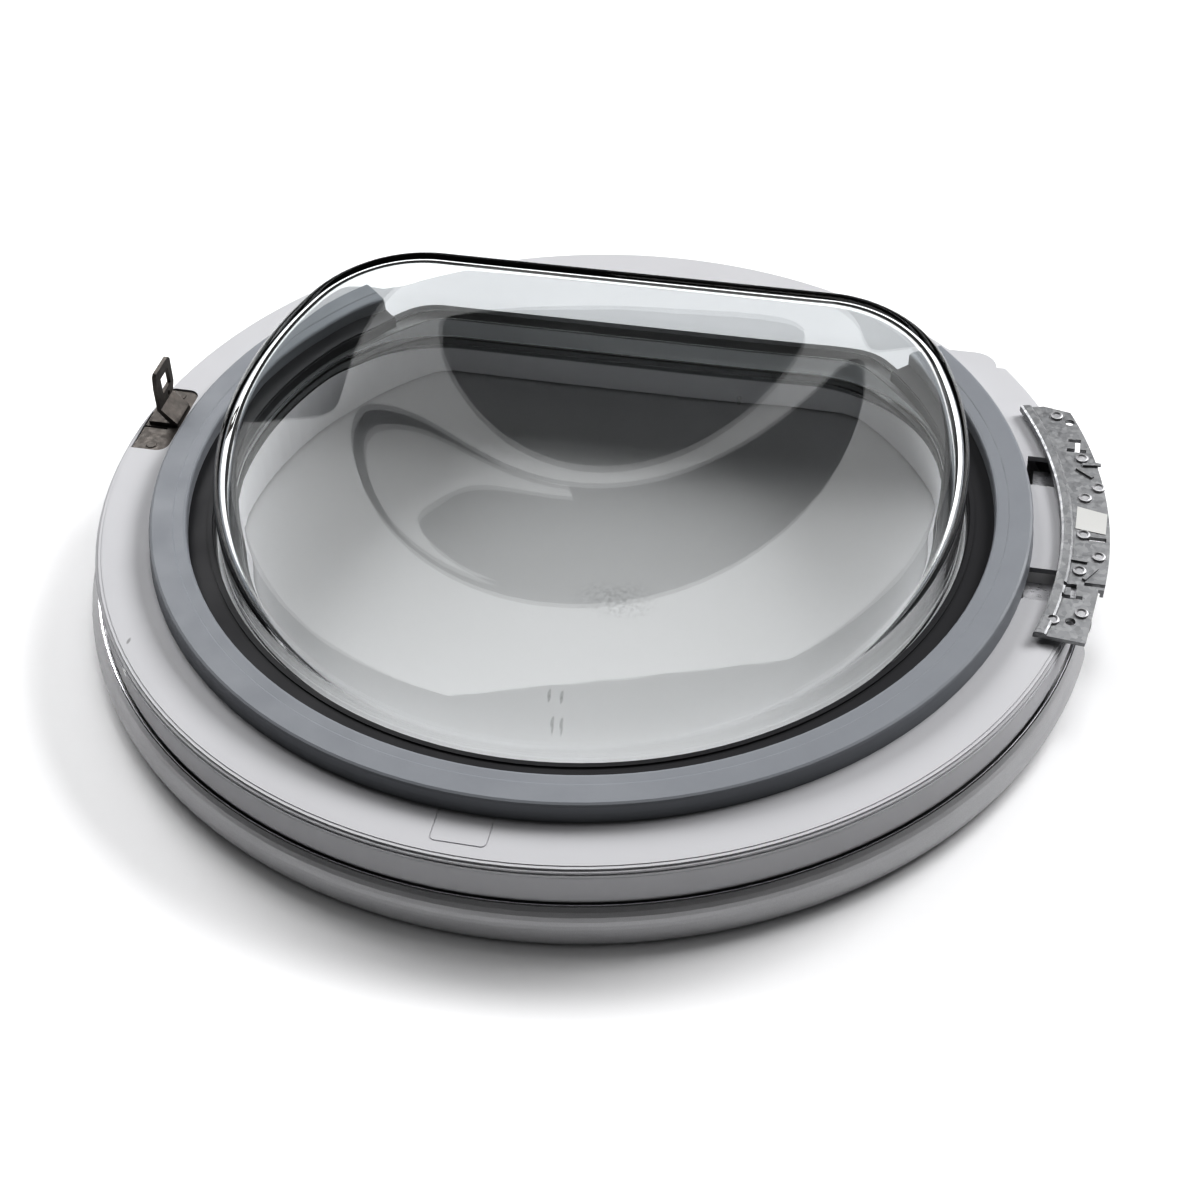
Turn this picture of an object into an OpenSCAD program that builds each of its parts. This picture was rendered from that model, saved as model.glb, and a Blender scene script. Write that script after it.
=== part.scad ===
// Round dryer door, lying front face down. Millimetres, +Z up (towards the drum),
// +X towards the hinge, -X towards the latch, +Y towards the flat side of the bowl.
// Origin: centre of the trim ring, on the plane of its front face.

/* [Trim ring and frame] */
// Largest radius of the trim ring
ring_r = 249.5; // [248:0.5:252]
// Height of the trim ring's outer wall
ring_h = 24; // [22:0.5:24.5]
// Radius of the round opening in the front of the trim ring
ring_open_r = 198; // [197:0.5:204]
// Outer radius of the inner frame
frame_r = 243; // [242.5:0.25:243.25]
// Height of the inner frame's face
frame_z = 44.2; // [44:0.1:45]
// Height of the low shelf behind the straight side
shelf_z = 27; // [26.5:0.5:29]
// Distance from the centre to the straight side of the raised face
chord_y = 157; // [155:1:160]

/* [Glass bowl] */
// Radius of the bowl's round side
bowl_r = 182.5; // [181:0.5:183]
// Distance from the centre to the bowl's flat side, at its foot
bowl_flat = 121; // [120:0.5:122]
// Corner radius between the round and the flat side, at the foot
bowl_corner = 80; // [78:1:82]
// Distance from the centre to the flat side at the crown's edge
crown_flat = 117; // [113:0.5:120]
// Corner radius at the crown's edge
crown_corner = 70; // [64:0.5:76]
// Distance from the centre to the straight side of the flange's inner line
flange_flat = 140.2; // [139.5:0.1:140.5]
// Distance from the centre to the straight edge of the frame's face, over the flange
face_flat = 146; // [145:0.5:146.5]
// Thickness of the glass
glass_t = 5; // [4.5:0.25:5.5]
// Height of the crown above the centre of the door
crown_z = 85.8; // [82:0.1:88]
// Slope of the crown, rising towards the flat side
crown_slope = 0.147; // [0.12:0.001:0.16]
// Rounding of the crown's edge
crown_edge = 10; // [8:0.5:11]
// Depth of the hollow in the crown
scoop = 16; // [6:0.5:18]

/* [Gasket] */
// Outer radius of the gasket's round side
gasket_r = 215.5; // [215:0.25:216]
// Width of the gasket's top face
gasket_w = 18; // [17:0.5:18]
// Height of the gasket's top face
gasket_z = 54; // [53:0.25:55]

/* [Hinge] */
// Height of the hinge pin
pivot_z = 19; // [18.5:0.25:19.5]
// Distance of the hinge pin from the door's centre
pivot_x = 225; // [224:0.5:225.5]
// Radius of the hinge pin
pin_r = 3; // [2.5:0.25:3]
// Underside of the hinge mounting plate
plate_z = 46.4; // [46.4:0.1:47]
// Radius of the screw holes in the hinge mounting plate
plate_hole_r = 2.4; // [2:0.1:2.6]

/* [Latch] */
// Height of the latch striker's top
striker_top = 74; // [70:1:78]
// Width of the latch striker
striker_w = 21; // [18:0.5:22]

/* [Hidden] */
$fn = 144;

// D outlines, each [radius, corner radius, distance of the flat side]
A = [bowl_r, bowl_corner, bowl_flat];
E = [bowl_r, crown_corner, crown_flat];
B = [bowl_r, 24, flange_flat];         // base of the wide glass flange
O = [bowl_r + 9.6, 31, face_flat];     // opening in the frame's face
function th(F) = asin((F[2] - F[1]) / (F[0] - F[1]));
function kx(F) = (F[0] - F[1]) * cos(th(F));
function ky(F) = (F[0] - F[1]) * sin(th(F));
function off(F, s) = [F[0] + s, F[1] + s, F[2] + s];
ledge_z = 35;                 // ledge under the glass
seal_t = 1;
flange_z0 = ledge_z + seal_t;
flange_z1 = 41.2;
clamp_z0 = frame_z + 0.1;
clamp_z1 = clamp_z0 + 2.6;
screw_off = 21;               // clamp screws, outside the bowl's outline
clamp_a = [-84, -60, -36, -12, 14, 38, 142, 166, 192, 216, 240, 264];
liner_z0 = 7.7;               // the liner's wide flange
liner_z1 = 10.2;
liner_r = 234;
// hinge slots in the frame: [low y, high y]
slot_lo = [-38, -15.5];
slot_hi = [47, 69.5];
slot_x = 210.5;
ends_a = 42;                  // the seal and its clamp end this far past the hinge line
trim_a = [for (k = [0:7]) 28 + 44.5 * k];   // trim screws, clear of the hinge carrier
carrier_x = 212.5; carrier_y = [-46, -1, 32, 78];
// latch pocket in the frame's face
lx0 = -240; lx1 = -221; ly0 = -8; ly1 = 44;
latch_floor = frame_z - 2.4;

// ---- helpers -----------------------------------------------------------

// Solid prism with a D outline
module dprism(F, z0, z1) {
    translate([0, 0, z0]) linear_extrude(z1 - z0) polygon(dcurve(F, 96, 20, 1));
}

// Part of a ring about the centre, open towards the flat side
module horseshoe(more = 0) {
    a = ends_a + more;
    rotate([0, 0, 180 - a]) rotate_extrude(angle = 180 + 2 * a) children();
}

// Points of a D outline, the same count for every D
function dcurve(F, nm = 44, nc = 9, nf = 10) = let (t = th(F))
    concat([for (i = [0:nm]) let (a = 180 - t + (180 + 2 * t) * i / nm) [F[0] * cos(a), F[0] * sin(a)]],
           [for (i = [1:nc]) let (a = t + (90 - t) * i / nc) [kx(F) + F[1] * cos(a), ky(F) + F[1] * sin(a)]],
           [for (i = [1:1:nf - 1]) [kx(F) * (1 - 2 * i / nf), F[2]]],
           [for (i = [0:nc - 1]) let (a = 90 + (90 - t) * i / nc) [-kx(F) + F[1] * cos(a), ky(F) + F[1] * sin(a)]]);

// The same D outline by rays from the centre, which keep the bowl's rows in line
rays = concat([for (a = [0:5.5:38.5]) a], [for (a = [43:2:59]) a], [for (i = [0:10]) 63 + 5.4 * i],
              [for (a = [121:2:137]) a], [for (a = [141.5:5.5:355]) a]);
function reach(F, a) = let (t = th(F), s = abs(90 - a), c = [kx(F), ky(F)], u = [sin(s), cos(s)], g = c * u)
    s >= 90 - t ? F[0] : F[2] * tan(s) <= kx(F) ? F[2] / cos(s) : g + sqrt(g * g - c * c + F[1] * F[1]);
function ring(F) = [for (a = rays) reach(F, a) * [cos(a), sin(a)]];

// Height of the crown, with its hollow: a dish that meets the slope to the flat side in a valley
function bump(x, y) = let (p = sqrt(pow(x / 125, 2) + pow((y - 40) / 147, 2)),
        a = 1.53 * scoop * (1 - pow(p, 1.2)), b = scoop * (101 - y) / 122)
    0.6 * ln(1 + exp(-3.5 * ln(exp(-a / 2.1) + exp(-b / 2.1))));
function crown(p, dz) = crown_z + crown_slope * p[1] - bump(p[0], p[1]) - dz;
function mix(a, b, u) = [for (i = [0:len(a) - 1]) a[i] * (1 - u) + b[i] * u];
function lift(c, z) = [for (p = c) [p[0], p[1], z]];

// One skin of the bowl, t below the outer one: rows from the foot to the crown's middle
function skin(t, z0) =
    let (foot = ring(off(A, -t)), edge = ring(off(E, -t)), r = crown_edge - t / 2,
         side = [for (i = [0:len(foot) - 1]) crown(edge[i], r + t * 0.9)])
    concat([lift(foot, z0)],
           [for (u = [0.34, 0.67, 1]) [for (i = [0:len(foot) - 1]) let (m = mix(foot[i], edge[i], u)) [m[0], m[1], z0 + (side[i] - z0) * u]]],
           [for (a = [22.5, 45, 67.5, 90]) let (c = ring(off(E, -t - r * (1 - cos(a)))))
                [for (i = [0:len(c) - 1]) [c[i][0], c[i][1], crown(c[i], t * 0.9 + r * (1 - sin(a)))]]],
           [for (k = [0.88, 0.77, 0.66, 0.56, 0.46, 0.36, 0.25, 0.13]) let (c = ring(off(E, -t - r)))
                [for (p = c) let (q = [p[0] * k, p[1] * k + 18 * (1 - k)]) [q[0], q[1], crown(q, t * 0.9)]]]);

// Places children at the clamp screws
module around() {
    for (a = clamp_a) rotate([0, 0, a]) translate([bowl_r + screw_off, 0, 0]) children();
}

// Self-tapping screw with a low round head, head's seat at z = 0, shank down
module screw(r, head_r, head_h, len) {
    rotate_extrude() polygon([[0, -len], [r * 0.4, -len], [r, -len + 2 * r], [r, 0], [head_r, 0],
                              [head_r, head_h * 0.55], [head_r * 0.72, head_h], [0, head_h]]);
}

// Space cut through frame, ring and liner for the hinge arms
module arm_space(floor_z) {
    for (s = [slot_lo, slot_hi])
        translate([slot_x, s[0], floor_z]) cube([60, s[1] - s[0], 60]);
}

// ---- trim ring, frame and liner -----------------------------------------

// Outer face of the trim ring: a shallow outward bow
function ring_side(off, n = 12) =
    [for (i = [0:n]) let (u = i / n, z = 0.8 + (ring_h - 0.8) * u) [ring_r - off - 4.0 * pow(abs(2 * u - 0.94), 2.2), z]];

module outer_ring() {
    color([0.47, 0.48, 0.5]) difference() {
        union() {
            rotate_extrude($fn = 180) polygon(concat(
                [[ring_open_r, 4.5], [238, 0], [ring_r - 4.4, 0]],
                ring_side(0),
                [[ring_r - 4.6, ring_h], [ring_r - 4.6, ring_h - 0.9], [ring_r - 6.3, ring_h - 0.9]],
                [for (i = [9:-1:2]) ring_side(2.6)[i]],
                [[243, 3], [238, 3], [ring_open_r, 7.5]]));
            // bosses for the screws that hold the liner
            for (a = trim_a) rotate([0, 0, a]) translate([222, 0, 4]) cylinder(r = 4.5, h = liner_z0 - 4);
        }
        arm_space(2.4);
        for (a = trim_a) rotate([0, 0, a]) translate([222, 0, 3.6]) cylinder(r = 1.7, h = 10);
        // room for the hinge carrier's outer ears
        translate([200, -44, 8]) cube([34.2, 120, 25]);
    }
}

// Bright bead in the rebate along the trim ring's edge
module chrome_bead() {
    color([0.9, 0.9, 0.92]) difference() {
        rotate_extrude($fn = 180) polygon([[ring_r - 5.9, ring_h - 0.87], [ring_r - 4.65, ring_h - 0.87], [ring_r - 4.65, ring_h + 0.1],
                                           [ring_r - 5, ring_h + 0.45], [ring_r - 5.5, ring_h + 0.45], [ring_r - 5.9, ring_h + 0.1]]);
        arm_space(2.4);
    }
}

module window_liner() {
    color([0.86, 0.86, 0.87]) difference() {
        union() {
            // cavity wall with the ledge under the glass
            difference() {
                union() {
                    dprism(off(B, 4.3), 1, ledge_z);
                    dprism(off(B, 11.4), 32.4, 41.2);
                }
                dprism(off(B, 1.5), 0, 50);
                dprism(off(B, 9.3), ledge_z, 50);
            }
            // flange under the frame's face
            difference() {
                intersection() {
                    translate([0, 0, 38.6]) cylinder(r = bowl_r + 29, h = 2.6);
                    translate([-220, -220, 38]) cube([440, 220 + chord_y - 3.4, 5]);
                }
                dprism(off(B, 10.5), 30, 50);
            }
            // wide flange over the trim ring
            difference() {
                translate([0, 0, liner_z0]) cylinder(r = liner_r, h = liner_z1 - liner_z0);
                dprism(off(B, 2.5), 0, 20);
            }
            // screw posts under the clamp screws
            around() translate([0, 0, liner_z1 - 0.5]) cylinder(r = 4.2, h = 29);
            // radial ribs
            for (a = [204:24:336]) rotate([0, 0, a]) translate([bowl_r + 3.2, -1.2, liner_z1 - 0.5]) cube([24, 2.4, 23]);
        }
        around() translate([0, 0, 33.5]) cylinder(r = 1.7, h = 20);
        for (a = trim_a) rotate([0, 0, a]) translate([222, 0, 5]) cylinder(r = 2.3, h = 10);
        arm_space(2.4);
        for (y = carrier_y) translate([carrier_x, y, 5]) cylinder(r = 1.6, h = 10);
    }
}

module frame_outline_2d(inset) {
    intersection() {
        circle(r = frame_r - inset, $fn = 180);
        union() {
            translate([-260, -260]) square([520, 260 + chord_y - inset - 12]);
            translate([-178, 0]) square([356, chord_y - inset]);
            for (s = [-1, 1]) translate([s * 178, chord_y - inset - 12]) circle(r = 12, $fn = 48);
        }
    }
}

module inner_frame() {
    color([0.9, 0.9, 0.91]) difference() {
        frame_shell();
        arm_space(2.4);
        // room for the hinge carrier
        translate([206, -50, 5]) cube([60, 132, 20]);
        // relief about the hinge pin, so that the rim passes under the swinging plate
        translate([0, 110, 0]) rotate([90, 0, 0]) linear_extrude(190) difference() {
            translate([pivot_x, pivot_z + 12]) square([40, 40]);
            translate([pivot_x, pivot_z]) circle(r = frame_z - pivot_z + 0.7);
        }
        around() cylinder(r = 2.1, h = 60);
        // latch pocket
        latch_pocket(latch_floor);
        for (y = [-3, 39]) translate([-230.5, y, 20]) cylinder(r = 1.8, h = 30);
        // fine moulded outline of a rounded rectangle near the front edge
        translate([-6, -224, frame_z - 0.4]) difference() {
            rounded_box(25, 19, 2.5, 3);
            translate([0, 0, -1]) rounded_box(23.8, 17.8, 2, 5);
        }
    }
}

module frame_shell() {
    difference() {
        union() {
            // raised face, its rounded edge stepped in three small chamfers
            translate([0, 0, shelf_z - 0.5]) linear_extrude(frame_z - 4.2 - shelf_z + 0.5) frame_outline_2d(0);
            for (i = [0:3]) let (a0 = i * 22.5, z = frame_z - 4.2 + 4.2 * sin(a0), z1 = frame_z - 4.2 + 4.2 * sin(a0 + 22.5))
                translate([0, 0, z - 0.01]) linear_extrude(z1 - z + 0.01) frame_outline_2d(4.2 * (1 - cos(a0 + 11)));
            // full round foot with the low shelf
            translate([0, 0, shelf_z - 2.6]) cylinder(r = frame_r - 0.3, h = 2.6, $fn = 180);
            // spigot that centres the frame in the trim ring
            translate([0, 0, 13]) cylinder(r = 240.4, h = 12, $fn = 180);
        }
        // hollow underside
        translate([0, 0, 0]) linear_extrude(frame_z - 2.8) offset_frame_2d();
        translate([0, 0, 5]) cylinder(r = 237.8, h = shelf_z - 7.6, $fn = 180);
        dprism(O, 0, 60);
    }
    // thicker rim beside the hinge
    intersection() {
        difference() {
            translate([0, 0, 31]) cylinder(r = frame_r - 1.2, h = 12, $fn = 180);
            translate([0, 0, 30]) cylinder(r = 235.5, h = 20, $fn = 180);
        }
        translate([215, -84, 30]) cube([40, 176, 20]);
    }
}

module rounded_box(w, d, r, h) {
    translate([-w / 2 + r, -d / 2, 0]) cube([w - 2 * r, d, h]);
    translate([-w / 2, -d / 2 + r, 0]) cube([w, d - 2 * r, h]);
    for (x = [-1, 1]) for (y = [-1, 1]) translate([x * (w / 2 - r), y * (d / 2 - r), 0]) cylinder(r = r, h = h, $fn = 24);
}

module offset_frame_2d() {
    intersection() {
        circle(r = frame_r - 2.9, $fn = 180);
        union() {
            translate([-260, -260]) square([520, 260 + chord_y - 15]);
            translate([-184, 0]) square([368, chord_y - 2.6]);
        }
    }
}

module latch_pocket(z) {
    translate([lx0, ly0, z]) cube([lx1 - lx0 - 6, ly1 - ly0, 10]);
    translate([lx0, ly0 + 6, z]) cube([lx1 - lx0, ly1 - ly0 - 12, 10]);
    for (y = [ly0 + 6, ly1 - 6]) translate([lx1 - 6, y, z]) cylinder(r = 6, h = 10, $fn = 48);
}

// ---- glass, its seal and clamp ------------------------------------------

module glass_seal() {
    color([0.56, 0.57, 0.58]) difference() {
        dprism(off(B, 9), ledge_z, flange_z0 - 0.02);
        dprism(off(B, 1.8), 20, 60);
    }
}

module glass_bowl() {
    rim = [lift(ring(off(A, -glass_t)), flange_z0), lift(ring(off(B, 8.6)), flange_z0), lift(ring(off(B, 8.6)), flange_z1 - 0.8),
           lift(ring(off(B, 7.8)), flange_z1), lift(ring(off(A, 0)), flange_z1)];
    outer = skin(0, flange_z1 + 2);
    inner = skin(glass_t, flange_z0 + 2);
    rows = concat([for (i = [len(inner) - 1:-1:0]) inner[i]], rim, outer);
    n = len(rows[0]); m = len(rows);
    pts = concat([for (r = rows) for (p = r) p],
                 [[0, 18, crown([0, 18], glass_t * 0.9)], [0, 18, crown([0, 18], 0)]]);
    color([0.75, 0.8, 0.82, 0.4]) polyhedron(points = pts, faces = concat(
        [for (j = [0:m - 2]) for (i = [0:n - 1]) [j * n + i, (j + 1) * n + i, (j + 1) * n + (i + 1) % n]],
        [for (j = [0:m - 2]) for (i = [0:n - 1]) [j * n + i, (j + 1) * n + (i + 1) % n, j * n + (i + 1) % n]],
        [for (i = [0:n - 1]) [m * n, i, (i + 1) % n]],
        [for (i = [0:n - 1]) [m * n + 1, (m - 1) * n + (i + 1) % n, (m - 1) * n + i]]));
}

module clamp_ring() {
    color([0.16, 0.16, 0.17]) difference() {
        horseshoe() polygon([
            [bowl_r + 2.6, flange_z1 + 0.05], [bowl_r + 8.8, flange_z1 + 0.05], [bowl_r + 8.8, clamp_z0],
            [gasket_r - 7.4, clamp_z0], [gasket_r - 7.4, clamp_z1], [bowl_r + 5.6, clamp_z1], [bowl_r + 5.6, clamp_z1 + 0.8],
            [bowl_r + 3.4, clamp_z1 + 0.8], [bowl_r + 3.4, clamp_z1], [bowl_r + 2.6, clamp_z1]]);
        around() translate([0, 0, 40]) cylinder(r = 2.1, h = 12);
    }
}

module clamp_screws() {
    color([0.7, 0.7, 0.72]) around() translate([0, 0, clamp_z1]) screw(1.7, 3.4, 2.2, 13);
}

// Gray door seal: a hollow profile with closed ends
module gasket() {
    w = gasket_w; z = gasket_z; r = gasket_r;
    color([0.56, 0.58, 0.6]) difference() {
        horseshoe() polygon([
            [r - w, clamp_z1 + 0.05], [r - w, z - 1.4], [r - w + 0.5, z - 0.6], [r - w + 1.6, z - 0.3], [r - w + 6, z - 0.3], [r - w + 6.6, z],
            [r - 1.6, z], [r - 0.5, z - 0.5], [r, z - 1.6], [r + 0.3, z - 5.2], [r + 1, clamp_z0], [r - 3.6, clamp_z0], [r - 3.8, clamp_z1 + 0.05]]);
        horseshoe(-0.6) polygon([
            [r - 3.8, clamp_z1 - 1], [r - 4.4, z - 3.4], [r - w + 2.4, z - 3.4], [r - w + 2.4, clamp_z1 - 1]]);
    }
}

module trim_screws() {
    color([0.7, 0.7, 0.72]) for (a = trim_a) rotate([0, 0, a]) translate([222, 0, liner_z1]) screw(1.7, 3.8, 2.2, 6);
}

// ---- latch ---------------------------------------------------------------

module latch_plate() {
    color([0.4, 0.37, 0.35]) difference() {
        translate([0, 0, 0]) intersection() {
            latch_blank();
            translate([-300, -100, latch_floor + 0.05]) cube([200, 300, 1.5]);
        }
        // slit in front of the striker's foot
        translate([lx0 - 1, 10.6, 30]) cube([13.5, 1.2, 30]);
        for (y = [-3, 39]) translate([-230.5, y, 30]) cylinder(r = 1.8, h = 30);
    }
}

module latch_blank() {
    translate([lx0 + 0.3, ly0 + 0.3, 30]) cube([lx1 - lx0 - 6.6, ly1 - ly0 - 0.6, 30]);
    translate([lx0 + 0.3, ly0 + 6.3, 30]) cube([lx1 - lx0 - 0.6, ly1 - ly0 - 12.6, 30]);
    for (y = [ly0 + 6.3, ly1 - 6.3]) translate([lx1 - 6.3, y, 30]) cylinder(r = 6, h = 30, $fn = 48);
}

// Bent steel tongue with a window for the catch
module latch_striker() {
    y0 = 13.2;
    color([0.36, 0.34, 0.33]) difference() {
        union() {
            // foot on the plate and the slanting lower part
            translate([0, y0 + 17.5, 0]) rotate([90, 0, 0]) linear_extrude(17.5) polygon([
                [-238, latch_floor + 1.6], [-222.4, latch_floor + 1.6], [-222.4, latch_floor + 3.6], [-230, 53.5],
                [-230, 56], [-232, 56], [-232, 52.6], [-226.6, latch_floor + 3.6], [-238, latch_floor + 3.6]]);
            // upright part
            translate([-232, y0, 0]) rotate([90, 0, 90]) linear_extrude(2) polygon([
                [0, 52.6], [0, 66], [1.4, striker_top - 1.2], [3, striker_top], [striker_w - 2.5, striker_top],
                [striker_w - 0.4, striker_top - 2], [striker_w - 0.8, 58], [17.5, 53.5], [17.5, 52.6]]);
        }
        // window
        translate([-240, y0 + 6.4, 59.5]) cube([20, 10.4, 9]);
        // small hole
        translate([-240, y0 + 12.5, 55.6]) rotate([0, 90, 0]) cylinder(r = 1.3, h = 20, $fn = 32);
    }
}

// Steel strip behind the face that the latch is screwed to
module latch_backing() {
    color([0.62, 0.62, 0.63]) difference() {
        translate([-234.8, -10, frame_z - 2.8 - 3.2]) cube([11.8, 56, 2]);
        for (y = [-3, 39]) translate([-230.5, y, 30]) cylinder(r = 1.5, h = 20);
    }
}

module latch_screws() {
    color([0.5, 0.48, 0.46]) for (y = [-3, 39]) translate([-230.5, y, latch_floor + 1.56]) rotate_extrude($fn = 48)
        polygon([[0, -7.2], [0.8, -7.2], [1.48, -6], [1.48, 0.02], [2.9, 0.02], [2.7, 0.35], [0, 0.5]]);
}

// ---- hinge ---------------------------------------------------------------

// Arc-shaped mounting plate, fixed to the dryer's front
module hinge_plate() {
    color([0.66, 0.67, 0.68]) difference() {
        union() {
            intersection() {
                rotate([0, 0, -30]) rotate_extrude(angle = 70, $fn = 180) polygon([[229, plate_z], [252, plate_z], [252, plate_z + 2], [229, plate_z + 2]]);
                plate_mask();
            }
            // raised lip along the inner edge
            intersection() {
                rotate([0, 0, -30]) rotate_extrude(angle = 70, $fn = 180) polygon([[229, plate_z + 1.9], [235, plate_z + 1.9], [234.6, plate_z + 2.8], [233.6, plate_z + 3.4], [230.2, plate_z + 3.4], [229.2, plate_z + 2.8]]);
                plate_mask();
            }
            // low stiffening ribs
            for (p = [[236.5, -11.6, -4, 11], [243.5, -20.5, 58, 11], [238.4, 55, -38, 10], [241.5, 62, 8, 9]])
                translate([p[0], p[1], plate_z + 1.9]) rotate([0, 0, p[2]]) translate([-p[3] / 2, -0.9, 0]) cube([p[3], 1.8, 1.1]);
            // turned-down outer edge
            intersection() {
                rotate([0, 0, -30]) rotate_extrude(angle = 70, $fn = 180) polygon([[250.4, plate_z - 3.6], [252, plate_z - 3.6], [252, plate_z + 0.1], [250.4, plate_z + 0.1]]);
                translate([200, -29, 0]) cube([100, 82, 100]);
            }
        }
        for (p = plate_holes) translate([p[0], p[1], 30]) cylinder(r = plate_hole_r, h = 40, $fn = 48);
        for (p = rivet_pts) translate([p[0], p[1], 30]) cylinder(r = 2, h = 40, $fn = 48);
        // stamped crosses, long slots and small windows
        for (p = [[234.5, 78], [236.5, -32.5]]) translate([p[0], p[1], 30]) {
            translate([-1.5, -5, 0]) cube([2.6, 9, 40]);
            translate([-5, 1.5, 0]) cube([4, 2.2, 40]);
            translate([-5.5, -6.5, 0]) cube([9.5, 2.6, 40]);
        }
        translate([240, 4.2, 30]) cube([10.2, 2.8, 40]);
        translate([241, -28.6, 30]) cube([12, 2.2, 40]);
    }
}

plate_holes = [[229.6, 95.5], [235.6, -54.6]];
rivet_pts = [[222.8, 99.4], [236.6, 66.5], [245.4, 44.5], [239.2, 35.5], [239.4, 7.5], [247, -7.5], [238.4, -19], [240.4, -48.5], [227.6, -55]];

module plate_mask() {
    linear_extrude(100) polygon([[190, -62.5], [243, -68], [247.4, -33], [247.4, -30.5], [260, -30.5], [260, 60],
                                 [242, 78], [233.6, 103], [216, 107], [190, 100]]);
}

// Bent arm; y is the low side, w its width
module hinge_arm(y, w) {
    px = pivot_x; pz = pivot_z;
    color([0.7, 0.71, 0.72]) difference() {
        translate([0, y + w, 0]) rotate([90, 0, 0]) linear_extrude(w) union() {
            translate([px, pz]) circle(r = 6.3, $fn = 64);
            polygon([[px - 12.2, pz - 2.6], [px, pz - 2.6], [px, pz + 2.6], [px - 7.2, pz + 2.6], [px - 7.2, pz + 12.6],
                     [px + 7, pz + 12.6], [px + 12, pz + 13.6], [px + 12, plate_z - 1.8], [px + 20, plate_z - 1.8], [px + 20, plate_z], [px + 7, plate_z],
                     [px + 7, pz + 17.8], [px - 10.8, pz + 17.8], [px - 12.2, pz + 16.4]]);
        }
        translate([px, y - 1, pz]) rotate([-90, 0, 0]) cylinder(r = 4.5, h = w + 2, $fn = 64);
        // seats of the clinched rivets in the foot
        for (p = rivet_pts) translate([p[0], p[1], plate_z - 1.2]) cylinder(r = 3.2, h = 3, $fn = 48);
    }
}

module hinge_arm_upper() { hinge_arm(slot_hi[0] + 2, 18.5); }
module hinge_arm_lower() { hinge_arm(slot_lo[0] + 2, 18.5); }

// Clinched rivets of the mounting plate
module hinge_rivets() {
    color([0.78, 0.79, 0.8]) for (p = rivet_pts) translate([p[0], p[1], 0]) rotate_extrude($fn = 48) polygon([
        [0, plate_z - 1.1], [2.9, plate_z - 1.1], [3.1, plate_z - 0.8], [3.1, plate_z], [2, plate_z], [2, plate_z + 2], [3.3, plate_z + 2],
        [3.1, plate_z + 2.9], [2.3, plate_z + 3.1], [1.7, plate_z + 2.5], [0, plate_z + 2.5]]);
}

// Plastic bushes pressed into the arms
module hinge_bushes() {
    color([0.2, 0.2, 0.2]) for (s = [slot_lo, slot_hi]) for (e = [0, 1])
        translate([pivot_x, s[0] + 2 + (e == 0 ? -0.6 : 18.5 + 0.6), pivot_z]) rotate([e == 0 ? -90 : 90, 0, 0]) rotate_extrude($fn = 64)
            polygon([[pin_r + 0.06, 0], [5.8, 0], [5.8, 0.6], [4.5, 0.6], [4.5, 8.6], [pin_r + 0.06, 8.6]]);
}

// Steel pins held in the carrier's ears
module hinge_pins() {
    color([0.75, 0.76, 0.78]) for (s = [slot_lo, slot_hi])
        translate([pivot_x, s[0] - 5.2, pivot_z]) rotate([-90, 0, 0]) rotate_extrude($fn = 64)
            polygon([[0, 0], [4.6, 0], [4.6, 1.4], [pin_r, 1.4], [pin_r, s[1] - s[0] + 10], [pin_r - 0.6, s[1] - s[0] + 10.6], [0, s[1] - s[0] + 10.6]]);
}

// Bracket inside the door that carries both pins
module hinge_carrier() {
    color([0.6, 0.61, 0.62]) difference() {
        union() {
            for (s = [slot_lo, slot_hi]) for (y = [s[0] - 3.6, s[1] + 0.4])
                translate([0, y + 3.2, 0]) rotate([90, 0, 0]) linear_extrude(3.2) union() {
                    translate([pivot_x, pivot_z]) circle(r = 6, $fn = 64);
                    polygon([[pivot_x - 19.5, liner_z1], [pivot_x + 6, liner_z1 + 2], [pivot_x + 6, pivot_z], [pivot_x - 6, pivot_z + 2], [pivot_x - 19.5, liner_z1 + 4]]);
                }
            // base strip and feet on the liner's flange
            translate([pivot_x - 19.8, slot_lo[0] - 13.6, liner_z1]) cube([4.6, slot_hi[1] - slot_lo[0] + 27.2, 2]);
            translate([pivot_x - 19.8, slot_lo[0] - 13.6, liner_z1]) cube([12, 13.2, 2]);
            translate([pivot_x - 19.8, slot_lo[1] + 0.4, liner_z1]) cube([12, slot_hi[0] - slot_lo[1] - 0.8, 2]);
            translate([pivot_x - 19.8, slot_hi[1] + 0.4, liner_z1]) cube([12, 13.2, 2]);
        }
        for (s = [slot_lo, slot_hi]) translate([pivot_x, s[0] - 10, pivot_z]) rotate([-90, 0, 0]) cylinder(r = pin_r, h = 45, $fn = 64);
        for (y = carrier_y) translate([carrier_x, y, 5]) cylinder(r = 2, h = 20);
    }
}

module carrier_screws() {
    color([0.7, 0.7, 0.72]) for (y = carrier_y) translate([carrier_x, y, liner_z1 + 2]) screw(1.55, 3.4, 2, 4.6);
}

// Plain label on the mounting plate
module data_label() {
    color([0.93, 0.93, 0.92]) translate([0, 0, plate_z + 2.02]) linear_extrude(0.25) polygon([[235.4, 11.8], [249.8, 9.6], [250.2, 25], [235.8, 28.6]]);
}

outer_ring();
chrome_bead();
window_liner();
inner_frame();
glass_seal();
glass_bowl();
clamp_ring();
clamp_screws();
gasket();
trim_screws();
latch_plate();
latch_striker();
latch_backing();
latch_screws();
hinge_plate();
hinge_arm_upper();
hinge_arm_lower();
hinge_rivets();
hinge_bushes();
hinge_pins();
hinge_carrier();
carrier_screws();
data_label();
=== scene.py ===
import math

import bpy
import bmesh
from mathutils import Matrix, Vector


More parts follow.
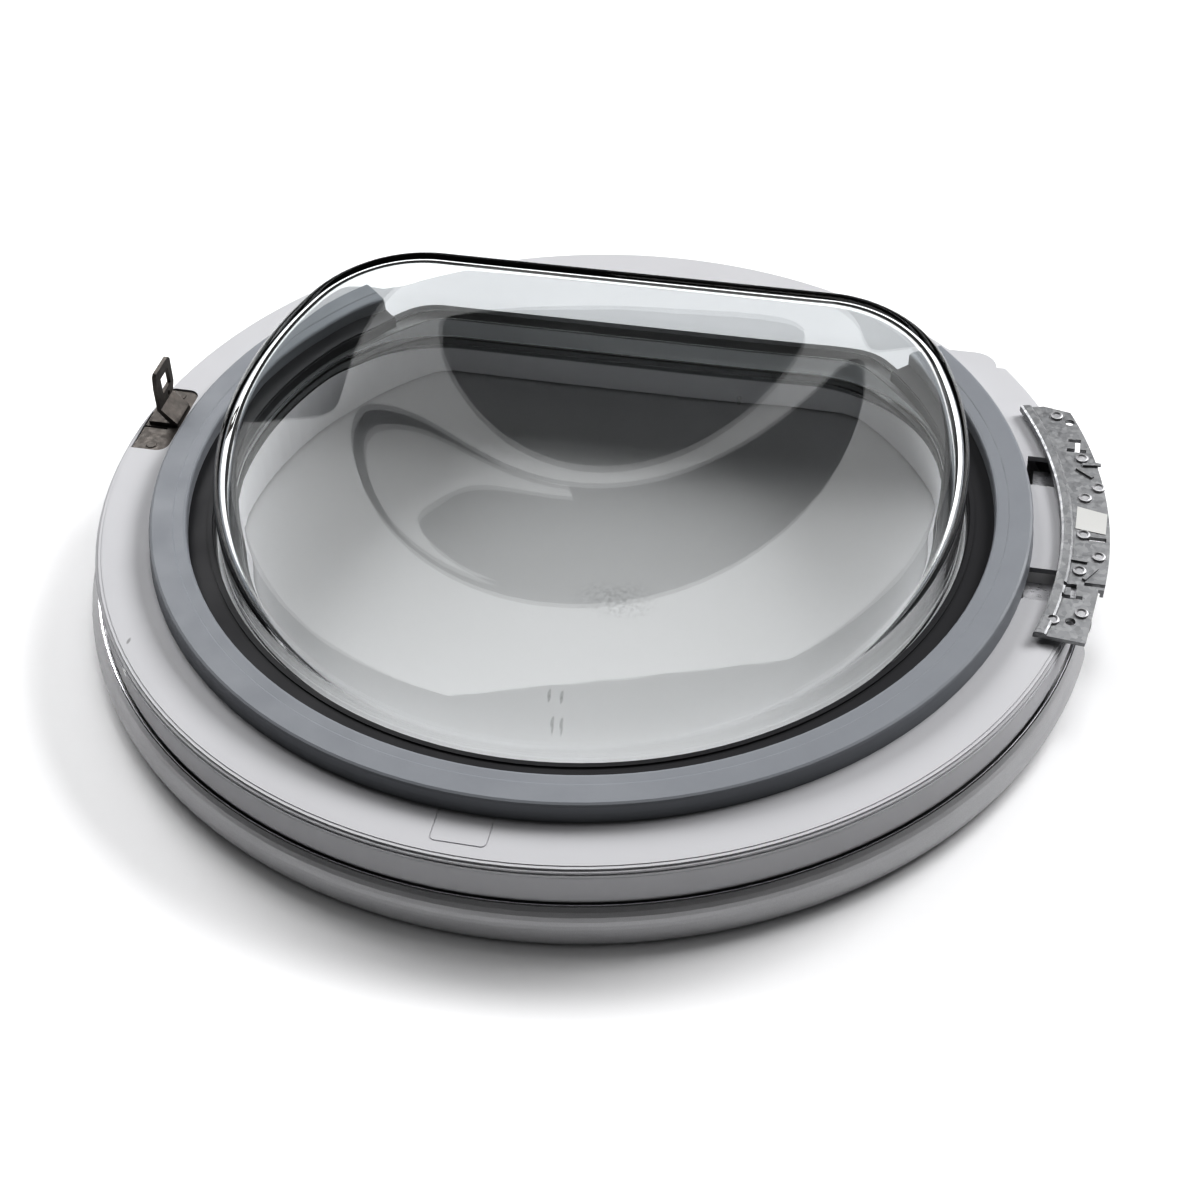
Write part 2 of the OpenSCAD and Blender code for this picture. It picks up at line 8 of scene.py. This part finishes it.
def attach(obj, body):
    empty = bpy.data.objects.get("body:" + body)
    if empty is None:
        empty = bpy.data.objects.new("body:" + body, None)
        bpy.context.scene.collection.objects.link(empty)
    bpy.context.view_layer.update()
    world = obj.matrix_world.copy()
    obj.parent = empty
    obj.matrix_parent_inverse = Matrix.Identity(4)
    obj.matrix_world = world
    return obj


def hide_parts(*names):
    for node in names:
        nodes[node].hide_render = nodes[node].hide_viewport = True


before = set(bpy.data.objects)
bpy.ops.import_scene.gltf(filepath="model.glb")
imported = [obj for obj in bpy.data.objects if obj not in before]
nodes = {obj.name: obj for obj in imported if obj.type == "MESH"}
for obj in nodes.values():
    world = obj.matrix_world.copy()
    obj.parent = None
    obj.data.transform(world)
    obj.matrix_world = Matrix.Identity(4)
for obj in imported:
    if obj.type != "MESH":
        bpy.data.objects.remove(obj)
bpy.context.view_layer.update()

MM = 0.001
CROWN_Z, SLOPE = 85.8, 0.147  # crown plane of the bowl: height in mm at y = 0 and its rise
scene = bpy.context.scene

# ---------------------------------------------------------------- materials


class Mat:
    """A node material with a Principled shader and small helpers."""

    def __init__(self, name, base=(0.8, 0.8, 0.8), rough=0.5, metal=0.0, **sockets):
        self.m = bpy.data.materials.new(name)
        self.m.use_nodes = True
        self.t = self.m.node_tree
        self.b = self.t.nodes["Principled BSDF"]
        self.b.inputs["Base Color"].default_value = (*base, 1)
        self.b.inputs["Roughness"].default_value = rough
        self.b.inputs["Metallic"].default_value = metal
        for k, v in sockets.items():
            self.b.inputs[k.replace("_", " ")].default_value = v
        self.base = base
        self.height = None

    def node(self, kind, **props):
        n = self.t.nodes.new(kind)
        for k, v in props.items():
            setattr(n, k, v)
        return n

    def link(self, a, b):
        self.t.links.new(a, b)

    def coords(self, scale=(1, 1, 1)):
        tc = self.node("ShaderNodeTexCoord")
        mp = self.node("ShaderNodeMapping")
        mp.inputs["Scale"].default_value = scale
        self.link(tc.outputs["Object"], mp.inputs["Vector"])
        return mp.outputs["Vector"]

    def noise(self, scale, detail=2.0, rough=0.5, stretch=(1, 1, 1), distort=0.0):
        n = self.node("ShaderNodeTexNoise")
        n.inputs["Scale"].default_value = scale
        n.inputs["Detail"].default_value = detail
        n.inputs["Roughness"].default_value = rough
        n.inputs["Distortion"].default_value = distort
        self.link(self.coords(stretch), n.inputs["Vector"])
        return n.outputs["Fac"]

    def voronoi(self, scale, out="Distance", stretch=(1, 1, 1), feature="F1"):
        n = self.node("ShaderNodeTexVoronoi", feature=feature)
        n.inputs["Scale"].default_value = scale
        self.link(self.coords(stretch), n.inputs["Vector"])
        return n.outputs[out]

    def ramp(self, fac, stops):
        n = self.node("ShaderNodeValToRGB")
        e = n.color_ramp.elements
        while len(e) < len(stops):
            e.new(0.5)
        for k, (p, c) in enumerate(stops):
            e[k].position = p
            e[k].color = (*c, 1) if len(c) == 3 else c
        self.link(fac, n.inputs["Fac"])
        return n.outputs["Color"]

    def remap(self, fac, a, b, lo, hi):
        n = self.node("ShaderNodeMapRange")
        n.inputs["From Min"].default_value = a
        n.inputs["From Max"].default_value = b
        n.inputs["To Min"].default_value = lo
        n.inputs["To Max"].default_value = hi
        self.link(fac, n.inputs["Value"])
        return n.outputs["Result"]

    def colour(self, out):
        self.link(out, self.b.inputs["Base Color"])

    def roughness(self, out):
        self.link(out, self.b.inputs["Roughness"])

    def bump(self, out, strength, dist=0.001):
        n = self.node("ShaderNodeBump")
        n.inputs["Strength"].default_value = strength
        n.inputs["Distance"].default_value = dist
        self.link(out, n.inputs["Height"])
        if self.height is not None:
            self.link(self.height, n.inputs["Normal"])
        self.height = n.outputs["Normal"]
        self.link(self.height, self.b.inputs["Normal"])


    def value(self, op, a, b):
        n = self.node("ShaderNodeMath", operation=op)
        for k, v in enumerate((a, b)):
            if isinstance(v, (int, float)):
                n.inputs[k].default_value = v
            else:
                self.link(v, n.inputs[k])
        return n.outputs[0]

    def spot(self, centre, radii, soft=0.5):
        """Mask that is one inside an ellipsoid given in mm and fades out towards its edge."""
        d = self.node("ShaderNodeVectorMath", operation="DISTANCE")
        self.link(self.coords(tuple(1000 / r for r in radii)), d.inputs[0])
        d.inputs[1].default_value = tuple(c / r for c, r in zip(centre, radii))
        return self.remap(d.outputs["Value"], 1 - soft, 1, 1, 0)

    def mixed(self, fac, a, b):
        n = self.node("ShaderNodeMix", data_type="RGBA")
        self.link(fac, n.inputs["Factor"])
        for k, v in ((6, a), (7, b)):
            if isinstance(v, tuple):
                n.inputs[k].default_value = (*v, 1)
            else:
                self.link(v, n.inputs[k])
        return n.outputs[2]


def shade(v, k):
    return tuple(min(1.0, c * k) for c in v)


def moulded(name, base, rough=0.45, grain=2600, grain_h=0.1, spread=0.04, spec=0.5):
    m = Mat(name, base, rough)
    m.b.inputs["Specular IOR Level"].default_value = spec
    m.colour(m.ramp(m.noise(9, 3), [(0.3, shade(base, 1 - spread)), (0.7, shade(base, 1 + spread))]))
    m.roughness(m.remap(m.noise(34, 4), 0.3, 0.7, rough - 0.06, rough + 0.08))
    m.bump(m.noise(grain, 2), grain_h, 0.0002)
    return m


white = moulded("white_abs", (0.57, 0.57, 0.585), 0.55, spread=0.015, grain_h=0.06, spec=0.18)
# a dark scratch on the face and a light chip on the side below it, as photographed
scratch = white.spot((-186.0, -144.5, 44.2), (0.9, 2.6, 3.0), 0.5)
chip = white.spot((-182.0, -160.2, 40.0), (3.2, 2.6, 2.6), 0.4)
face = white.b.inputs["Base Color"].links[0].from_socket
white.colour(white.mixed(white.value("MULTIPLY", scratch, 0.55), white.mixed(chip, face, (0.95, 0.95, 0.95)), (0.16, 0.155, 0.15)))

liner = moulded("liner_abs", (0.84, 0.84, 0.855), 0.5, spread=0.02, grain_h=0.1, spec=0.35)
dark = moulded("dark_plastic", (0.022, 0.022, 0.025), 0.5, spread=0.1, spec=0.3)
pale_rubber = moulded("pale_rubber", (0.3, 0.3, 0.305), 0.6, spread=0.03, spec=0.3)

# seal rubber: fine bloom and faint streaks along its length
rubber = Mat("seal_rubber", (0.26, 0.275, 0.30), 0.55)
rubber.b.inputs["Specular IOR Level"].default_value = 0.4
rubber.colour(rubber.ramp(rubber.noise(14, 5, 0.6), [(0.3, (0.256, 0.267, 0.289)), (0.55, (0.274, 0.286, 0.308)), (0.8, (0.30, 0.312, 0.334))]))
rubber.roughness(rubber.remap(rubber.noise(60, 4), 0.3, 0.7, 0.46, 0.62))
rubber.bump(rubber.noise(1400, 3), 0.12, 0.0002)
rubber.bump(rubber.noise(70, 2), 0.05, 0.0006)

# satin metallic paint
trim = Mat("satin_trim", (0.5, 0.5, 0.51), 0.36, 0.5)
trim.colour(trim.ramp(trim.noise(4200, 2), [(0.3, (0.46, 0.46, 0.47)), (0.7, (0.56, 0.56, 0.57))]))
trim.roughness(trim.remap(trim.noise(18, 4), 0.3, 0.7, 0.30, 0.40))
trim.bump(trim.noise(3000, 2), 0.08, 0.00015)

chrome = Mat("bright_bead", (0.82, 0.82, 0.84), 0.1, 1.0)
chrome.roughness(chrome.remap(chrome.noise(90, 3), 0.3, 0.7, 0.06, 0.16))
chrome.bump(chrome.noise(120, 2), 0.03, 0.0003)

# zinc-plated steel
steel = Mat("plated_steel", (0.66, 0.66, 0.68), 0.32, 0.9)
steel.colour(steel.ramp(steel.noise(120, 4), [(0.3, (0.56, 0.56, 0.58)), (0.7, (0.72, 0.72, 0.74))]))
steel.roughness(steel.remap(steel.noise(300, 4, 0.6, (1, 6, 1)), 0.3, 0.7, 0.24, 0.42))
steel.bump(steel.noise(900, 3), 0.08, 0.0002)

# rivets: duller zinc
zinc = Mat("rivet_zinc", (0.42, 0.42, 0.43), 0.45, 0.5)
zinc.colour(zinc.ramp(zinc.noise(260, 4), [(0.3, (0.36, 0.36, 0.37)), (0.7, (0.48, 0.48, 0.49))]))
zinc.roughness(zinc.remap(zinc.noise(400, 3), 0.3, 0.7, 0.36, 0.54))
zinc.bump(zinc.noise(900, 3), 0.1, 0.0002)

# galvanised sheet with its crystal spangle
galv = Mat("galvanised", (0.3, 0.303, 0.31), 0.45, 0.6)
cells = galv.voronoi(420, "Color")
galv.colour(galv.ramp(cells, [(0.0, (0.235, 0.238, 0.245)), (0.45, (0.29, 0.293, 0.30)), (1.0, (0.36, 0.363, 0.37))]))
galv.roughness(galv.remap(galv.noise(500, 3), 0.3, 0.7, 0.34, 0.52))
galv.bump(galv.voronoi(420), 0.04, 0.0002)
galv.bump(galv.noise(160, 4), 0.12, 0.0004)

# dark plated latch steel
latch = Mat("latch_steel", (0.12, 0.11, 0.10), 0.45, 0.5)
latch.colour(latch.ramp(latch.noise(220, 5, 0.6), [(0.3, (0.07, 0.063, 0.058)), (0.6, (0.115, 0.103, 0.094)), (0.85, (0.19, 0.175, 0.16))]))
latch.roughness(latch.remap(latch.noise(400, 4), 0.3, 0.7, 0.36, 0.56))
latch.bump(latch.noise(800, 3), 0.12, 0.0002)

label = moulded("label_film", (0.6, 0.6, 0.59), 0.45, grain=900, grain_h=0.04, spread=0.02)

# clear glass with the faint waviness of a pressing
glass = Mat("clear_glass", (0.97, 0.985, 0.985), 0.0)
glass.b.inputs["Transmission Weight"].default_value = 1.0
glass.b.inputs["IOR"].default_value = 1.5
# a darker, rougher patch on the front half of the crown: the glass colour is mixed towards grey there and its
# roughness raised
dark_rough_patch = glass.value("MULTIPLY", glass.spot((34, -101, 71), (24, 15, 20), 0.9), glass.remap(glass.noise(520, 4, 0.7), 0.46, 0.66, 0, 1))
marks = None
for mx, my in ((16.5, -158.5), (22.0, -158.5), (21.0, -172.5), (25.0, -172.5)):
    k = glass.spot((mx, my, CROWN_Z + SLOPE * my), (0.8, 3.0, 9.0), 0.3)
    marks = k if marks is None else glass.value("MAXIMUM", marks, k)
dust = glass.spot((67.3, 38.5, 84.0), (1.1, 1.1, 9.0), 0.3)
veil = glass.value("MAXIMUM", glass.value("MULTIPLY", dark_rough_patch, 0.4), glass.value("MULTIPLY", marks, 0.5))
glass.colour(glass.mixed(veil, (0.97, 0.985, 0.985), (0.30, 0.31, 0.31)))
glass.link(glass.remap(dust, 0, 1, 1.0, 0.25), glass.b.inputs["Transmission Weight"])
glass.roughness(glass.value("ADD", glass.remap(glass.noise(40, 3), 0.45, 0.9, 0.0, 0.012), glass.value("MULTIPLY", dark_rough_patch, 0.12)))
glass.bump(glass.noise(16, 2), 0.03, 0.0012)


def dress(name, mat, smooth=35):
    o = nodes[name]
    o.data.materials.clear()
    o.data.materials.append(mat.m)
    return o


dress("outer_ring", trim)
dress("chrome_bead", chrome)
dress("window_liner", liner)
dress("inner_frame", white)
dress("glass_seal", pale_rubber)
dress("glass_bowl", glass)
dress("clamp_ring", dark)
dress("clamp_screws", steel)
dress("gasket", rubber)
dress("trim_screws", steel)
dress("latch_plate", latch)
dress("latch_striker", latch)
dress("latch_backing", galv)
dress("latch_screws", latch)
dress("hinge_plate", galv)
dress("hinge_arm_upper", steel)
dress("hinge_arm_lower", steel)
dress("hinge_rivets", zinc)
dress("hinge_bushes", dark)
dress("hinge_pins", steel)
dress("hinge_carrier", galv)
dress("carrier_screws", steel)
dress("data_label", label)

# ------------------------------------------------------------------ the bowl
# The same D outlines and crown as the CAD bowl, with finer rows and the pressed relief.

A = (182.5, 80.0, 121.0)
E = (182.5, 70.0, 117.0)
B = (182.5, 24.0, 140.2)


def off(F, s):
    return (F[0] + s, F[1] + s, F[2] + s)


def rays():
    """Polar angles of the bowl's rows, closer where the flange has its corners."""
    out, a = [], 0.0
    while a < 359.99:
        out.append(math.radians(a))
        a += 0.5 if 42.5 <= a < 60.5 or 119.5 <= a < 137.5 else 1.0
    return out


RAYS = rays()


def reach(F, a):
    R, c, f = F
    t = math.asin((f - c) / (R - c))
    kx, ky = (R - c) * math.cos(t), (R - c) * math.sin(t)
    s = abs(math.pi / 2 - a)
    if s >= math.pi / 2 - t:
        return R
    if f * math.tan(s) <= kx:
        return f / math.cos(s)
    g = kx * math.sin(s) + ky * math.cos(s)
    return g + math.sqrt(g * g - kx * kx - ky * ky + c * c)


def dcurve(F):
    return [(reach(F, a) * math.cos(a), reach(F, a) * math.sin(a)) for a in RAYS]


EDGE, T = 10.0, 5.0


def smooth(a, b, x):
    u = min(1.0, max(0.0, (x - a) / (b - a)))
    return u * u * (3 - 2 * u)


def relief(x, y):
    """Height added to the crown's outer face, in mm."""
    p = math.hypot(x / 125.0, (y - 40.0) / 147.0)
    a = 24.48 * (1 - p ** 1.2)
    b = 16.0 * (101.0 - y) / 122.0
    d = -2.1 * math.log(math.exp(-a / 2.1) + math.exp(-b / 2.1))
    return -0.6 * math.log(1 + math.exp(d / 0.6))


def relief_in(x, y):
    return relief(x, y)


def crown(x, y, inner=False):
    return CROWN_Z + SLOPE * y + (relief_in(x, y) if inner else relief(x, y))


def skin(t, z0, inner):
    foot, edge = dcurve(off(A, -t)), dcurve(off(E, -t))
    r = EDGE - t / 2
    rows = []
    side = [crown(x, y, inner) - r - t * 0.9 for x, y in edge]
    for u in (0.0, 0.1, 0.25, 0.4, 0.55, 0.7, 0.85, 1.0):
        rows.append([(f[0] + (e[0] - f[0]) * u, f[1] + (e[1] - f[1]) * u, z0 + (s - z0) * u) for f, e, s in zip(foot, edge, side)])
    for k in range(1, 13):
        a = math.pi / 2 * k / 12
        c = dcurve(off(E, -t - r * (1 - math.cos(a))))
        rows.append([(x, y, crown(x, y, inner) - t * 0.9 - r * (1 - math.sin(a))) for x, y in c])
    c = dcurve(off(E, -t - r))
    n = 56
    for k in range(1, n):
        s = 1 - k / n
        rows.append([(x * s, y * s + 18 * (1 - s), crown(x * s, y * s + 18 * (1 - s), inner) - t * 0.9) for x, y in c])
    return rows


def bowl():
    z0, z1 = 36.0, 41.2
    rim = [[(x, y, z0) for x, y in dcurve(off(A, -T))]]
    a0, b0 = dcurve(off(A, -T)), dcurve(off(B, 8.2))
    for u in (0.25, 0.5, 0.75):
        rim.append([(p[0] + (q[0] - p[0]) * u, p[1] + (q[1] - p[1]) * u, z0) for p, q in zip(a0, b0)])
    for s, z in ((8.2, z0), (8.6, z0 + 0.5), (8.6, z1 - 0.8), (8.3, z1 - 0.3), (7.8, z1)):
        rim.append([(x, y, z) for x, y in dcurve(off(B, s))])
    a0, b0 = dcurve(off(A, 1.2)), dcurve(off(B, 7.8))
    for u in (0.75, 0.5, 0.25, 0.0):
        rim.append([(p[0] + (q[0] - p[0]) * u, p[1] + (q[1] - p[1]) * u, z1) for p, q in zip(a0, b0)])
    rim.append([(x, y, z1 + 0.5) for x, y in dcurve(off(A, 0.3))])
    outer = skin(0, z1 + 1.5, False)
    inner = skin(T, z0 + 1.0, True)
    rows = inner[::-1] + rim + outer
    n = len(rows[0])
    me = bpy.data.meshes.new("bowl_glass")
    verts = [tuple(c * MM for c in p) for r in rows for p in r]
    m = len(rows)
    verts.append((0, 18 * MM, (crown(0, 18, True) - T * 0.9) * MM))
    verts.append((0, 18 * MM, crown(0, 18) * MM))
    faces = [(j * n + i, j * n + (i + 1) % n, (j + 1) * n + (i + 1) % n, (j + 1) * n + i) for j in range(m - 1) for i in range(n)]
    faces += [(m * n, (i + 1) % n, i) for i in range(n)]
    faces += [(m * n + 1, (m - 1) * n + i, (m - 1) * n + (i + 1) % n) for i in range(n)]
    me.from_pydata(verts, [], faces)
    bm = bmesh.new()
    bm.from_mesh(me)
    bmesh.ops.recalc_face_normals(bm, faces=bm.faces)
    bm.to_mesh(me)
    bm.free()
    for p in me.polygons:
        p.use_smooth = True
    o = bpy.data.objects.new("bowl_glass", me)
    scene.collection.objects.link(o)
    me.materials.append(glass.m)
    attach(o, "door")
    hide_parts("glass_bowl")
    return o


bowl()

# ------------------------------------------------------------ floor and light

floor_m = Mat("floor_paper", (0.88, 0.88, 0.885), 0.7)
floor_m.b.inputs["Specular IOR Level"].default_value = 0.1
floor_m.bump(floor_m.noise(300, 2), 0.02, 0.0002)


def floor_piece(name, r0, r1, n=96):
    """Flat part of the floor between a circle under the trim ring and a square, or the disc inside that circle."""
    me = bpy.data.meshes.new(name)
    c = [(math.cos(2 * math.pi * i / n), math.sin(2 * math.pi * i / n)) for i in range(n)]
    verts = [(r0 * x, r0 * y, 0) for x, y in c]
    faces = [tuple(range(n))]
    if r1:
        verts += [(r1 * x / max(abs(x), abs(y)), r1 * y / max(abs(x), abs(y)), 0) for x, y in c]
        faces = [(i, (i + 1) % n, n + (i + 1) % n, n + i)[::-1] for i in range(n)]
    me.from_pydata(verts, [], faces)
    o = bpy.data.objects.new(name, me)
    scene.collection.objects.link(o)
    me.materials.append(floor_m.m)
    return o


floor = floor_piece("floor", 0.241, 6.0)
floor_piece("floor_below", 0.241, 0)


def area(name, loc, target, size, power, size_y=None, colour=(1, 1, 1)):
    d = bpy.data.lights.new(name, "AREA")
    d.energy = power
    d.color = colour
    d.shape = "RECTANGLE"
    d.size = size
    d.size_y = size_y or size
    o = bpy.data.objects.new(name, d)
    o.location = loc
    o.rotation_euler = (Vector(target) - Vector(loc)).to_track_quat("-Z", "Y").to_euler()
    scene.collection.objects.link(o)
    return o




def panel(name, azim, elev, dist, width, height, radiance):
    """Softbox seen from the object at an azimuth from +Y towards +X and an elevation, in degrees."""
    width, height = width * dist / 4.2, height * dist / 4.2
    a, e = math.radians(azim), math.radians(elev)
    loc = Vector((math.sin(a) * math.cos(e), math.cos(a) * math.cos(e), math.sin(e))) * dist + Vector((0, 0, 0.05))
    return area(name, loc, (0, 0, 0.05), width, radiance * math.pi * width * height, height)


def linked(name, objs, state):
    """Collection for light linking that includes or excludes the objects."""
    c = bpy.data.collections.new(name)
    for o in objs:
        c.objects.link(o)
    for item in c.collection_objects:
        item.light_linking.link_state = state
    return c


pane = bpy.data.objects["bowl_glass"]
below = bpy.data.objects["floor_below"]
cavity = linked("cavity", [below, nodes["window_liner"]], "INCLUDE")
outside = linked("outside", [below, nodes["window_liner"], pane], "EXCLUDE")
clear = linked("clear", [pane], "EXCLUDE")


def split(light, receivers, through=True):
    """Light for one group of receivers; through: it passes straight through the clear glass."""
    light.light_linking.receiver_collection = receivers
    if through:
        light.light_linking.blocker_collection = clear


panel("back_soft", -16, 57.6, 4.2, 2.9, 0.76, 1.95)
panel("lobe_soft", -6, 46.5, 4.2, 0.9, 0.5, 1.4)
split(panel("left_soft", -46, 37, 8.0, 2.2, 1.7, 10.0), outside)
split(panel("right_soft", 42, 37, 8.0, 2.4, 1.7, 14.2), outside)
split(panel("top_soft", 10, 74, 6.0, 1.2, 1.1, 8.5), outside, False)
split(panel("left_low", -42, 18, 6.5, 2.2, 1.5, 20.5), cavity)
split(panel("right_low", 34, 18, 6.5, 2.4, 1.5, 13.5), cavity)

# background light: whitens the paper around the door, and nothing else
paper = area("paper_light", (0, 0, 3.0), (0, 0, 0), 4.0, 33)
only = bpy.data.collections.new("paper_only")
only.objects.link(floor)
paper.light_linking.receiver_collection = only

world = bpy.data.worlds.new("studio")
scene.world = world
world.use_nodes = True
bg = world.node_tree.nodes["Background"]
bg.inputs["Color"].default_value = (1, 1, 1, 1)
bg.inputs["Strength"].default_value = 0.07

# ------------------------------------------------------------------- camera

fwd = Vector((-0.1660, 0.7191, -0.6748)).normalized()
right = Vector((0.9744, 0.2250, 0.0)).normalized()
up = right.cross(fwd)
r = math.radians(-1.43)
X = right * math.cos(r) + up * math.sin(r)
Y = -right * math.sin(r) + up * math.cos(r)
cam_d = bpy.data.cameras.new("cam")
cam_d.lens = 60
cam_d.sensor_width = 36
cam = bpy.data.objects.new("cam", cam_d)
cam.matrix_world = Matrix(((X.x, Y.x, -fwd.x, 0.17615), (X.y, Y.y, -fwd.y, -0.748), (X.z, Y.z, -fwd.z, 0.6745), (0, 0, 0, 1)))
scene.collection.objects.link(cam)
scene.camera = cam
scene.view_settings.view_transform = "Standard"
scene.view_settings.gamma = 0.7
